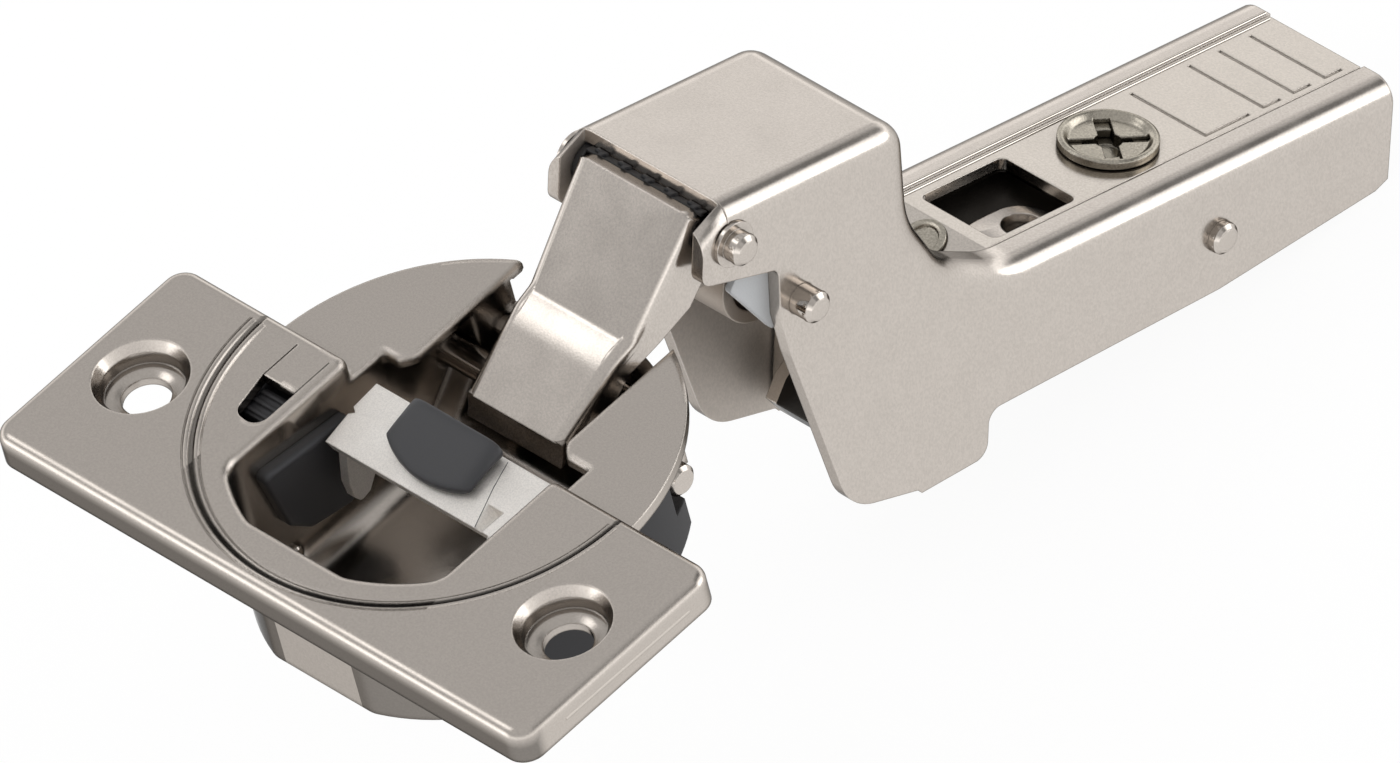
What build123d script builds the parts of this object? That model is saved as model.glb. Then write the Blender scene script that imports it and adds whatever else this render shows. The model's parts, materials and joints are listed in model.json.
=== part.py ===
from build123d import *
from math import atan2, cos, degrees, hypot, radians, sin, sqrt
import os

# Concealed cup hinge, open. X runs along the two cup screws, Y from the cup
# towards the arm, Z out of the door. The origin is on the cup axis, in the
# plane of the door face. Profiles are drawn from the top of the cup's wing.

# Sizes, in millimetres and degrees
sheet = 1.0
wing_rise = 3.0
wing_half = 28.4
wing_front = -20.2
wing_rear = 0.85
wing_corner = 1.8
wing_edge = 0.9
screw_spacing = 45.0
screw_line = -9.5
screw_hole_r = 1.95
screw_seat_r = 2.75
screw_wall_r = 3.29
screw_rim_r = 3.87
boss_wall = 1.0
flange_r = 18.55
drilling_r = 17.5
flange_step = 0.15
notch_half = 8.0
notch_front = 5.0
shoulder_front = 2.0
pocket_r = 17.2
pocket_depth = 15.5
pocket_left = -10.4
pocket_right = 11.4
pocket_front = -16.4
pocket_rear = 11.0
pocket_chamfer = 1.2
pocket_round = 2.4
floor_round = 2.5
lip_round = 0.7
rim_round = 0.45
shoulder_round = 1.3
groove_r = 18.85
groove_wire = 0.3
slope_foot = 4.0
throat_half = 8.0
notch_drop = 2.1
throat_depth = 12.2
throat_front = 4.0

running = 0.05
housing_bottom = 12.0
housing_front = -11.0
housing_rear = 8.2
housing_toe = 10.2
housing_r = 17.1
switch_bottom = 9.0
switch_width = 2.8
switch_length = 2.7
switch_front = -6.9
switch_height = 0.75
switch_rib = 0.2
switch_floor = 2.2
window_front = -8.4
window_rear = -4.05
window_left = -14.75
window_right = -11.2
leaf_slot = 0.14

pin_a = (10.0, -7.0)
pin_b = (13.4, -6.2)
pin_f = (-8.7, -12.9)
pin_a_r = 1.3
pin_b_r = 1.0
pin_f_r = 0.7
pin_a_end = 14.5
pin_a_inner = 4.4

slope = 19.519
arm_half = 8.25
arm_wall = 1.2
arm_round = 1.9
arm_end = 94.5
head_front = 21.5
head_top = 13.9
rail_top = -4.05
slot_half = 5.0
slot_front = 47.0
rail_start = 53.0
rivet_1 = (22.06, 10.70)
rivet_2 = (29.99, 2.62)
rivet_3 = (75.97, -10.30)
rivet_r = 1.3
rivet_1_out = 1.75
rivet_1_rim = 0.35
rivet_1_left = 0.7
rivet_2_out = 2.06
rivet_3_out = 0.9
collar_r = 1.9

link_low_half = 5.25
link_top_half = 6.2
link_inner_half = 4.3
link_sheet = 1.0
link_round = 1.15
link_eye_r = 2.1
washer_r = 1.9
inner_half = 3.9
inner_eye_r = 1.95
inner_thick = 1.7
open_eye_r = 2.95
open_ring_r = 4.0

rocker_left = -8.7
rocker_right = 10.2
rocker_thick = 1.3
rocker_cheek = 1.0
cheek_left = 8.6
rocker_eye_r = 1.25
lobe_left = -7.9
lobe_thick = 0.9
pad_half = 4.65
pad_shift = 0.5

adapter_gap = 0.1
adapter_wall = 1.2
adapter_end = 94.2
adapter_front = 50.2
hook_half = 6.85
line_marks = ((78.0, 4.6), (84.3, 1.7), (87.6, 1.7), (91.0, 1.7))
line_length = 7.95
line_mid = 0.22
line_wide = 0.3
line_depth = 0.15
hook_inner = 5.65
depth_travel = 1.5
depth_head_r = 3.95
depth_head_rise = 0.85
depth_rim = 0.5
depth_dish = 0.35
depth_shank_r = 2.0
depth_at = (0.3, 71.4)
side_screw_r = 1.7
side_screw_length = 6.0
side_at = (51.85, -4.95)
lever_half = 3.4
lever_eye_r = 2.4

# Planes: side views of cup and arm, and the arm's top view
cup_side = Plane(origin=(0, 0, wing_rise), x_dir=(0, 1, 0), z_dir=(1, 0, 0))
arm_y = (0, cos(radians(slope)), -sin(radians(slope)))
arm_z = (0, sin(radians(slope)), cos(radians(slope)))
arm_side = Plane(origin=(0, 0, wing_rise), x_dir=arm_y, z_dir=(1, 0, 0))
arm_top = Plane(origin=(0, 0, wing_rise), x_dir=(1, 0, 0), z_dir=arm_z)


def in_cup(point):
    # A point of the arm's side view, seen in the cup's side view
    along, up = point
    c = cos(radians(slope))
    s = sin(radians(slope))
    return (along * c + up * s, up * c - along * s)


rivet_1_cup = in_cup(rivet_1)
rivet_2_cup = in_cup(rivet_2)
link_length = hypot(rivet_1_cup[0] - pin_a[0], rivet_1_cup[1] - pin_a[1])
link_angle = degrees(atan2(rivet_1_cup[1] - pin_a[1], rivet_1_cup[0] - pin_a[0]))
inner_length = hypot(rivet_2_cup[0] - pin_b[0], rivet_2_cup[1] - pin_b[1])
inner_angle = degrees(atan2(rivet_2_cup[1] - pin_b[1], rivet_2_cup[0] - pin_b[0]))
link_dir = (0, cos(radians(link_angle)), sin(radians(link_angle)))
inner_dir = (0, cos(radians(inner_angle)), sin(radians(inner_angle)))
link_side = Plane(origin=(0, pin_a[0], wing_rise + pin_a[1]), x_dir=link_dir, z_dir=(1, 0, 0))
inner_side = Plane(origin=(0, pin_b[0], wing_rise + pin_b[1]), x_dir=inner_dir, z_dir=(1, 0, 0))
link_top = Plane(origin=(0, pin_a[0], wing_rise + pin_a[1]), x_dir=(1, 0, 0),
                 z_dir=(0, -sin(radians(link_angle)), cos(radians(link_angle))))

wing_mid = (wing_front + wing_rear) / 2
wing_width = wing_rear - wing_front
pocket_mid = (pocket_left + pocket_right) / 2
pocket_width = pocket_right - pocket_left
reach = 60.0
floor_level = wing_rise - pocket_depth
bore_r = pin_a_r + running

# Hollow of the pocket's front, with a rounded foot along its walls
with BuildPart() as hollow_maker:
    with BuildSketch(Plane.XY.offset(floor_level + sheet)):
        Circle(pocket_r - sheet)
        with Locations((pocket_mid, pocket_front + sheet + reach)):
            Rectangle(pocket_width, 2 * reach, mode=Mode.INTERSECT)
        fillet(vertices(), pocket_round)
        with Locations((0, slope_foot + reach)):
            Rectangle(2 * reach, 2 * reach, mode=Mode.SUBTRACT)
    extrude(amount=pocket_depth + sheet)
    foot = [e for e in hollow_maker.faces().sort_by(Axis.Z)[0].edges() if e.center().Y < slope_foot - 0.1]
    fillet(foot, floor_round)
hollow = hollow_maker.part

# Cup: wing, flange and pocket drawn from one sheet
with BuildPart() as cup:
    with BuildSketch(Plane.XY):
        with Locations((0, wing_mid)):
            RectangleRounded(2 * wing_half, wing_width, wing_corner)
    extrude(amount=wing_rise)
    fillet(cup.faces().sort_by(Axis.Z)[-1].edges(), wing_edge)
    with BuildSketch(Plane.XY):
        with Locations((0, wing_mid)):
            RectangleRounded(2 * (wing_half - sheet), wing_width - 2 * sheet, wing_corner - sheet / 2)
    extrude(amount=wing_rise - sheet, mode=Mode.SUBTRACT)
    with BuildSketch(Plane.XY):
        Circle(flange_r)
        with Locations((0, wing_rear - sheet - flange_r)):
            Rectangle(2 * reach, 2 * flange_r, mode=Mode.SUBTRACT)
    extrude(amount=sheet)
    # over the 35 mm drilling the flange is clear of the door
    with BuildSketch(Plane.XY):
        Circle(drilling_r)
        with Locations((0, wing_rear - sheet - reach)):
            Rectangle(2 * reach, 2 * reach, mode=Mode.SUBTRACT)
    extrude(amount=flange_step, mode=Mode.SUBTRACT)
    with BuildSketch(Plane.XY.offset(floor_level)):
        Circle(pocket_r)
        with Locations((pocket_mid, pocket_front + reach)):
            Rectangle(pocket_width + 2 * sheet, 2 * reach, mode=Mode.INTERSECT)
        fillet(vertices(), pocket_round)
    extrude(amount=pocket_depth - wing_rise + sheet)
    chamfer(cup.faces().sort_by(Axis.Z)[0].edges(), pocket_chamfer)
    with BuildSketch(Plane.XY):
        Circle(pocket_r)
        with Locations((pocket_mid, pocket_front + reach)):
            Rectangle(pocket_width + 2 * sheet, 2 * reach, mode=Mode.INTERSECT)
        fillet(vertices(), pocket_round)
        with Locations((0, wing_rear + reach)):
            Rectangle(2 * reach, 2 * reach, mode=Mode.SUBTRACT)
    extrude(amount=wing_rise - sheet)
    with BuildSketch(cup_side):
        with BuildLine():
            Polyline((slope_foot - sheet, -pocket_depth - sheet), (reach, reach - slope_foot - pocket_depth),
                     (reach, -pocket_depth - sheet), close=True)
        make_face()
    extrude(amount=reach, both=True, mode=Mode.SUBTRACT)
    with BuildSketch(Plane.XY.offset(wing_rise - throat_depth)):
        Circle(pocket_r)
        with Locations((0, throat_front + reach)):
            Rectangle(2 * (throat_half + sheet), 2 * reach, mode=Mode.INTERSECT)
    extrude(amount=throat_depth - wing_rise + sheet)
    # hollow of the pocket, with its sloping rear floor
    add(hollow, mode=Mode.SUBTRACT)
    slope_line = sqrt(2) * sheet - slope_foot - pocket_depth
    slope_start = sheet - pocket_depth - slope_line
    with BuildSketch(cup_side.offset(pocket_left)):
        with BuildLine():
            Polyline((slope_foot - sheet, -wing_rise), (slope_foot - sheet, sheet - pocket_depth),
                     (slope_start, sheet - pocket_depth), (pocket_rear, pocket_rear + slope_line),
                     (pocket_rear, -wing_rise), close=True)
        make_face()
    extrude(amount=pocket_width, mode=Mode.SUBTRACT)
    with BuildSketch(Plane.XY.offset(wing_rise - throat_depth + sheet)):
        Circle(pocket_r - sheet)
        with Locations((0, throat_front - sheet + reach)):
            Rectangle(2 * throat_half, 2 * reach, mode=Mode.INTERSECT)
    extrude(amount=throat_depth + sheet, mode=Mode.SUBTRACT)
    # opening in the flange: shoulders, then the notch out to the rim
    with BuildSketch(Plane.XY.offset(-notch_drop)):
        with BuildLine():
            Polyline((pocket_left, -2 * sheet), (pocket_left, shoulder_front), (-notch_half, notch_front),
                     (-notch_half, flange_r + sheet), (notch_half, flange_r + sheet), (notch_half, notch_front),
                     (pocket_right, shoulder_front), (pocket_right, -2 * sheet), close=True)
        make_face()
        fillet([v for v in vertices() if 0 < v.Y < notch_front + 1], shoulder_round)
    extrude(amount=wing_rise + sheet + notch_drop, mode=Mode.SUBTRACT)
    # rounded lips: the wing's opening, then the flange's
    lips = [e for e in cup.edges() if abs(e.center().Z - wing_rise) < 0.01 and pocket_left - 0.5 < e.center().X
            < pocket_right + 0.5 and pocket_front - 1 < e.center().Y < wing_rear - wing_edge - 0.05]
    fillet(lips, lip_round)
    rims = [e for e in cup.edges() if abs(e.center().Z - sheet) < 0.01 and abs(e.center().X) < pocket_right + 0.1
            and e.center().Y > wing_rear + 0.1 and hypot(e.center().X, e.center().Y) < flange_r - 0.3]
    fillet(rims, rim_round)
    # arc groove on the wing
    with BuildSketch(cup_side):
        with Locations((-groove_r, groove_wire / 2)):
            Circle(groove_wire)
    revolve(axis=Axis.Z, revolution_arc=360, mode=Mode.SUBTRACT)
    # screw seats
    for hand in (-1, 1):
        with BuildSketch(Plane.XY):
            with Locations((hand * screw_spacing / 2, screw_line)):
                Circle(screw_wall_r + boss_wall)
        extrude(amount=wing_rise - sheet)
        seat_plane = Plane(origin=(hand * screw_spacing / 2, screw_line, wing_rise), x_dir=(1, 0, 0), z_dir=(0, -1, 0))
        with BuildSketch(seat_plane):
            with BuildLine():
                Polyline((0, sheet), (screw_rim_r, sheet), (screw_rim_r, 0), (screw_wall_r, -0.92),
                         (screw_wall_r, -2.0), (screw_seat_r, -2.0), (screw_hole_r, -2.3),
                         (screw_hole_r, -wing_rise - sheet), (0, -wing_rise - sheet), close=True)
            make_face()
        revolve(axis=Axis((hand * screw_spacing / 2, screw_line, 0), (0, 0, 1)), mode=Mode.SUBTRACT)
    # window over the soft-close switch
    with BuildSketch(Plane.XY.offset(wing_rise - sheet)):
        with BuildLine():
            Polyline((window_left, window_rear), (window_right, window_rear), (window_right, window_front),
                     (window_left + 0.9, window_front + 0.3), close=True)
        make_face()
        fillet(vertices().sort_by(Axis.Y)[:2], 1.2)
    extrude(amount=3 * sheet, mode=Mode.SUBTRACT)
    with BuildSketch(Plane.XY.offset(wing_rise - 1.5 * sheet)):
        for slot_x in (window_left + leaf_slot / 2, window_right - leaf_slot / 2):
            with Locations((slot_x, (window_rear + wing_rear) / 2 - 0.6)):
                Rectangle(leaf_slot, wing_rear - window_rear - 1.2)
    extrude(amount=2 * sheet, mode=Mode.SUBTRACT)
    # bores of the three cup pins
    with BuildSketch(cup_side):
        with Locations(pin_a):
            Circle(pin_a_r)
        with Locations(pin_b):
            Circle(pin_b_r)
    extrude(amount=reach, both=True, mode=Mode.SUBTRACT)
    with BuildSketch(cup_side):
        with Locations(pin_f):
            Circle(pin_f_r)
    extrude(amount=reach, both=True, mode=Mode.SUBTRACT)
cup.part.label = "cup"

with BuildPart() as outer_link_pin_left:
    with BuildSketch(cup_side.offset(-pin_a_end)):
        with Locations(pin_a):
            Circle(pin_a_r)
    extrude(amount=pin_a_end - pin_a_inner)
    chamfer(outer_link_pin_left.edges().group_by(Axis.X)[0], 0.3)
outer_link_pin_left.part.label = "outer_link_pin_left"

with BuildPart() as outer_link_pin_right:
    with BuildSketch(cup_side.offset(pin_a_inner)):
        with Locations(pin_a):
            Circle(pin_a_r)
    extrude(amount=pin_a_end - pin_a_inner)
    chamfer(outer_link_pin_right.edges().group_by(Axis.X)[-1], 0.3)
outer_link_pin_right.part.label = "outer_link_pin_right"

with BuildPart() as inner_link_pin:
    with BuildSketch(cup_side.offset(-throat_half - sheet)):
        with Locations(pin_b):
            Circle(pin_b_r)
    extrude(amount=2 * (throat_half + sheet))
inner_link_pin.part.label = "inner_link_pin"

with BuildPart() as rocker_pin:
    with BuildSketch(cup_side.offset(cheek_left - 0.4)):
        with Locations(pin_f):
            Circle(pin_f_r)
    extrude(amount=pocket_right + sheet - cheek_left + 0.4)
rocker_pin.part.label = "rocker_pin"

with BuildPart() as cover_pin:
    with BuildSketch(cup_side.offset(pocket_left - sheet)):
        with Locations(pin_f):
            Circle(pin_f_r)
    extrude(amount=sheet + 0.5)
    chamfer(cover_pin.edges().group_by(Axis.X)[-1], 0.2)
cover_pin.part.label = "cover_pin"

# Damper housing against the pocket's right wall, cut round the pin's end
with BuildPart() as damper_housing:
    with BuildSketch(Plane.XY.offset(wing_rise - housing_bottom)):
        Circle(housing_r)
        with Locations((pocket_right + sheet + reach, 0)):
            Rectangle(2 * reach, 2 * reach, mode=Mode.INTERSECT)
    extrude(amount=housing_bottom - wing_rise)
    with BuildSketch(cup_side):
        with BuildLine():
            Polyline((housing_front, 0), (housing_rear, 0), (housing_rear, pin_a[1] - 1.8),
                     (housing_toe, pin_a[1] - 2.4), (housing_toe, -housing_bottom - sheet),
                     (housing_front, -housing_bottom - sheet), close=True)
        make_face()
    extrude(amount=reach, mode=Mode.INTERSECT)
damper_housing.part.label = "damper_housing"

# Switch housing under the wing on the left, with the switch's channel
with BuildPart() as switch_housing:
    with BuildSketch(Plane.XY.offset(wing_rise - switch_bottom)):
        Circle(housing_r)
        with Locations((pocket_left - sheet - reach, wing_rear - sheet - reach)):
            Rectangle(2 * reach, 2 * reach, mode=Mode.INTERSECT)
        with Locations((0, housing_front - reach)):
            Rectangle(2 * reach, 2 * reach, mode=Mode.SUBTRACT)
    extrude(amount=switch_bottom - sheet)
    with BuildSketch(Plane.XY.offset(wing_rise - switch_floor)):
        with Locations((pocket_left - sheet - 0.35 - switch_width / 2, (window_front + wing_rear) / 2 - sheet)):
            Rectangle(switch_width + 2 * adapter_gap, wing_rear - window_front - sheet)
    extrude(amount=switch_floor, mode=Mode.SUBTRACT)
switch_housing.part.label = "switch_housing"

with BuildPart() as soft_close_switch:
    with BuildSketch(Plane.XY.offset(wing_rise - switch_floor + adapter_gap)):
        with Locations((pocket_left - sheet - 0.35 - switch_width / 2, switch_front + switch_length / 2)):
            Rectangle(switch_width, switch_length)
    extrude(amount=switch_height)
    with BuildSketch(Plane.XY.offset(wing_rise - switch_floor + adapter_gap + switch_height)):
        with Locations((pocket_left - sheet - 0.35 - switch_width / 2, switch_front + switch_length / 2)):
            with GridLocations(0, switch_length / 3, 1, 3):
                Rectangle(switch_width, 0.35)
    extrude(amount=switch_rib)
soft_close_switch.part.label = "soft_close_switch"

# Dark side cover of the damper, inside the pocket's left wall
with BuildPart() as damper_cover:
    with BuildSketch(cup_side.offset(pocket_left)):
        with BuildLine():
            Polyline((-1.1, -4.0), (-10.3, -2.85), (-9.0, -9.2), (-7.15, -10.95), (-2.9, -11.85), (-0.6, -8.6),
                     close=True)
        make_face()
        fillet(vertices(), 0.6)
    extrude(amount=1.1)
    fillet(damper_cover.faces().sort_by(Axis.X)[-1].edges(), 0.4)
damper_cover.part.label = "damper_cover"

# Rocker: bar with a cheek at each end, turning on the front pin
bar_rear = (1.5, -2.4)
bar_front = (-4.4, -3.5)
with BuildPart() as rocker_bar:
    with BuildSketch(cup_side.offset(rocker_left)):
        with BuildLine():
            Polyline(bar_rear, (-1.0, -2.65), bar_front, (bar_front[0] + 0.5, bar_front[1] - rocker_thick),
                     (bar_rear[0] - 1.0, bar_rear[1] - rocker_thick), (bar_rear[0], bar_rear[1] - 0.5), close=True)
        make_face()
    extrude(amount=rocker_right - rocker_left)
    with BuildSketch(cup_side.offset(cheek_left)):
        with BuildLine():
            Polyline(bar_front, (bar_rear[0] - 2.5, bar_front[1] - 0.3), (-2.6, -9.2),
                     (pin_f[0] + 1.2, pin_f[1] - 0.3), (pin_f[0] - 1.0, pin_f[1] + 0.7), close=True)
        make_face()
        with Locations(pin_f):
            Circle(rocker_eye_r)
            Circle(pin_f_r + running, mode=Mode.SUBTRACT)
    extrude(amount=rocker_cheek)
    with BuildSketch(cup_side.offset(lobe_left)):
        with BuildLine():
            Polyline((-3.9, bar_front[1] - 0.4), (-4.2, -5.4), (-4.5, -7.2), (-4.3, -8.8), (-3.8, -9.5), (-2.8, -9.2),
                     (-1.9, -8.0), (-1.3, -6.0), (-0.9, -3.4), close=True)
        make_face()
        fillet(vertices().sort_by(Axis.Z)[:5], 0.5)
    extrude(amount=lobe_thick)
    with BuildSketch(Plane.XY.offset(floor_level)):
        with BuildLine():
            Polyline((rocker_left - 0.5, -2.1), (rocker_left + 0.45, -1.4), (rocker_left - 0.5, -0.7), close=True)
        make_face()
    extrude(amount=pocket_depth, mode=Mode.SUBTRACT)
    with BuildSketch(Plane(origin=(7.6, bar_front[0] - 0.5, wing_rise + bar_front[1] + 0.2), x_dir=(1, 0, 0),
                           z_dir=(0, 1, 0))):
        Polygon((-0.9, -0.35), (0.9, -0.35), (0, 0.6), align=None)
    extrude(amount=2.6, mode=Mode.SUBTRACT)
rocker_bar.part.label = "rocker_bar"

with BuildPart() as rocker_pad:
    with BuildSketch(cup_side.offset(pad_shift - pad_half)):
        with BuildLine():
            Polyline((bar_rear[0] - 0.05, bar_rear[1] + 0.006), (bar_rear[0] - 0.05, -0.5), (-3.0, -2.3), (-3.55, -2.9),
                     (-3.9, bar_front[1] + 0.125), (-1.0, -2.65), close=True)
        make_face()
    extrude(amount=2 * pad_half)
    with BuildSketch(Plane.XY):
        with Locations((pad_shift, 0)):
            Rectangle(2 * pad_half, 7.8)
        fillet(vertices().sort_by(Axis.Y)[:2], 1.6)
    extrude(amount=reach, both=True, mode=Mode.INTERSECT)
    fillet(rocker_pad.edges().filter_by(Axis.X).sort_by(Axis.Z)[-1:], 0.4)
rocker_pad.part.label = "rocker_pad"

# Outer link: a plate with a turned-down lip and two cheeks
plate_low = (-2.1, 3.09)
plate_roll = (3.3, 2.72)
plate_bend = (7.32, 1.9)
plate_high = (link_length + 0.31, 3.22)
with BuildPart() as outer_link:
    with BuildSketch(link_side):
        with BuildLine():
            Line(plate_low, plate_roll)
            ThreePointArc(plate_roll, (5.4, 2.47), plate_bend)
            Polyline(plate_bend, plate_high, (link_length + 1.7, 0.8), (link_length + 1.3, -1.3),
                     (link_length - 1.2, -1.8), (11.4, -2.4), (8.0, -1.2), (5.0, 0.1), (1.0, 0.1), (-1.0, 1.4),
                     (-2.5, 1.3), plate_low)
        make_face()
        Circle(link_eye_r)
    extrude(amount=link_top_half, both=True)
    with BuildSketch(link_top.offset(-2 * link_eye_r)):
        with BuildLine():
            Polyline((-link_low_half, -link_eye_r - 1), (link_low_half, -link_eye_r - 1),
                     (link_top_half, link_length + 2.5), (-link_top_half, link_length + 2.5), close=True)
        make_face()
    extrude(amount=4 * link_eye_r, mode=Mode.INTERSECT)
    sides = [e for e in outer_link.edges() if abs(e.center().X) > link_low_half - 0.4
             and abs(e.tangent_at(0.5).X) < 0.5 and link_side.to_local_coords(e.center()).Y > 1.7]
    fillet(sides, link_round)
    with BuildSketch(link_side):
        with BuildLine():
            Polyline((plate_low[0] + 0.9, plate_low[1] - link_sheet - 0.1),
                     (plate_bend[0], plate_bend[1] - link_sheet), (plate_high[0] - 1.2, plate_high[1] - link_sheet),
                     (plate_high[0] - 1.2, -4.0), (plate_low[0] - 2.0, -4.0), (plate_low[0] - 2.0, 1.3),
                     (plate_low[0] + 0.5, 1.3), close=True)
        make_face()
    extrude(amount=link_inner_half, both=True, mode=Mode.SUBTRACT)
    with BuildSketch(link_side):
        Circle(bore_r)
        with Locations((link_length, 0)):
            Circle(rivet_r + running)
    extrude(amount=reach, both=True, mode=Mode.SUBTRACT)
outer_link.part.label = "outer_link"

# Inner link: an arched bar, with an oversize eye round the second arm rivet
with BuildPart() as inner_link:
    with BuildSketch(inner_side):
        with BuildLine():
            Polyline((-inner_eye_r + 0.2, 0.6), (0.9, 3.2), (2.6, 4.1), (4.1, 4.8), (6.6, 3.9 + inner_thick),
                     (11.5, 2.8 + inner_thick), (inner_length - 0.5, open_ring_r - 0.2), (inner_length - 3.4, 1.6),
                     (10.6, 2.9), (6.4, 3.9), (4.1, 3.6), (3.0, 2.9), (2.2, 1.8), (inner_eye_r - 0.1, 0.2),
                     close=True)
        make_face()
        Circle(inner_eye_r)
        with Locations((inner_length, 0)):
            Circle(open_ring_r)
            Circle(open_eye_r, mode=Mode.SUBTRACT)
        Circle(pin_b_r + running, mode=Mode.SUBTRACT)
    extrude(amount=inner_half, both=True)
inner_link.part.label = "inner_link"

# Arm: a channel with a raised head, rails and a slot for the adapter
front_corner = (19.0, 12.4)
head_rear = [(40.6, head_top, 2.6), (42.0, 4.6, 9.0), (46.4, -1.3, 8.0), (rail_start, rail_top, 8.0)]
wall_outline = [(19.1, 7.9, 1.2), (27.3, 6.2, 0.9), (27.9, 1.6, 0), (29.3, -2.2, 4.0), (36.8, -18.9, 5.0),
                (44.2, -20.2, 0), (44.6, -20.6, 0), (51.6, -20.1, 1.3), (51.5, -16.1, 1.2), (76.3, -15.2, 0),
                (93.2, -13.2, 0), (arm_end, -12.6, 0), (arm_end, rail_top, 0)]
with BuildPart() as hinge_arm:
    with BuildSketch(arm_side):
        with BuildLine():
            Polyline((head_front, head_top), front_corner, *[(along, up) for along, up, size in wall_outline],
                     *[(along, up) for along, up, size in head_rear[::-1]], close=True)
        make_face()
        for along, up, size in wall_outline + head_rear:
            if size:
                fillet([v for v in vertices() if abs(v.X - along) < 0.01 and abs(v.Y - up) < 0.01], size)
    extrude(amount=arm_half, both=True)
    crown = [e for e in hinge_arm.edges() if abs(abs(e.center().X) - arm_half) < 0.01
             and (arm_side.to_local_coords(e.center()).Y > front_corner[1] + 0.3
                  or (arm_side.to_local_coords(e.center()).X > 39.0
                      and arm_side.to_local_coords(e.center()).Y > rail_top - 0.2))]
    fillet(crown, arm_round)
    with BuildSketch(arm_side):
        with BuildLine():
            Polyline((arm_end + 1, rail_top - arm_wall), (rail_start + 0.4, rail_top - arm_wall), (51.6, -4.85), (49.4, -4.1),
                     (47.2, -2.8), (45.1, -1.2), (43.3, 0.6), (41.95, 2.8), (40.95, 5.1), (40.3, 7.8), (39.7, 11.2),
                     (39.2, 12.2), (38.2, head_top - arm_wall), (head_front - 5, head_top - arm_wall),
                     (head_front - 5, -25.0), (arm_end + 1, -25.0), close=True)
        make_face()
    extrude(amount=arm_half - arm_wall, both=True, mode=Mode.SUBTRACT)
    with BuildSketch(arm_side):
        with BuildLine():
            Polyline((head_front - 5, head_top + 1), (head_front, head_top + 1), (head_front, head_top - 3),
                     (head_front - 5, head_top - 3), close=True)
        make_face()
    extrude(amount=arm_half - arm_wall, both=True, mode=Mode.SUBTRACT)
    with BuildSketch(arm_top.offset(rail_top - 2 * arm_wall)):
        with Locations((0, (slot_front + arm_end + 1) / 2)):
            Rectangle(2 * slot_half, arm_end + 1 - slot_front)
    extrude(amount=4 * arm_wall, mode=Mode.SUBTRACT)
    with BuildSketch(arm_side):
        with Locations(rivet_1, rivet_2, rivet_3):
            Circle(rivet_r)
    extrude(amount=reach, both=True, mode=Mode.SUBTRACT)
hinge_arm.part.label = "hinge_arm"

with BuildPart() as outer_link_rivet:
    with BuildSketch(arm_side.offset(-arm_half - rivet_1_left)):
        with Locations(rivet_1):
            Circle(rivet_r)
    extrude(amount=2 * arm_half + rivet_1_left + rivet_1_out)
    for start in (-arm_half - rivet_1_rim, arm_half):
        with BuildSketch(arm_side.offset(start)):
            with Locations(rivet_1):
                Circle(collar_r)
        extrude(amount=rivet_1_rim)
    chamfer(outer_link_rivet.edges().group_by(Axis.X)[-1], 0.35)
outer_link_rivet.part.label = "outer_link_rivet"

with BuildPart() as outer_link_washer_left:
    with BuildSketch(arm_side.offset(adapter_gap - arm_half + arm_wall)):
        with Locations(rivet_1):
            Circle(washer_r)
            Circle(rivet_r, mode=Mode.SUBTRACT)
    extrude(amount=arm_half - arm_wall - adapter_gap - link_top_half - adapter_gap)
outer_link_washer_left.part.label = "outer_link_washer_left"

with BuildPart() as outer_link_washer_right:
    with BuildSketch(arm_side.offset(link_top_half + adapter_gap)):
        with Locations(rivet_1):
            Circle(washer_r)
            Circle(rivet_r, mode=Mode.SUBTRACT)
    extrude(amount=arm_half - arm_wall - link_top_half - 2 * adapter_gap)
outer_link_washer_right.part.label = "outer_link_washer_right"

with BuildPart() as inner_link_rivet:
    with BuildSketch(arm_side.offset(-arm_half - rivet_1_left)):
        with Locations(rivet_2):
            Circle(rivet_r)
    extrude(amount=2 * arm_half + rivet_1_left + rivet_2_out)
    chamfer(inner_link_rivet.edges().group_by(Axis.X)[-1], 0.35)
inner_link_rivet.part.label = "inner_link_rivet"

with BuildPart() as lever_pin:
    with BuildSketch(arm_side):
        with Locations(rivet_3):
            Circle(rivet_r)
    extrude(amount=arm_half + rivet_3_out, both=True)
    chamfer(lever_pin.edges().group_by(Axis.X)[-1], 0.3)
lever_pin.part.label = "lever_pin"

# Plastic guide inside the arm's near wall, seen through the notch
with BuildPart() as arm_guide:
    with BuildSketch(arm_side.offset(arm_half - arm_wall - 0.6)):
        with BuildLine():
            Polyline((24.6, 7.4), (23.4, 5.2), (28.2, 0.1), (29.2, 0.2), (31.9, 3.4), (32.4, 7.4), close=True)
        make_face()
        fillet(vertices(), 0.5)
        with Locations(rivet_2):
            Circle(rivet_r, mode=Mode.SUBTRACT)
    extrude(amount=0.6)
arm_guide.part.label = "arm_guide"

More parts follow.
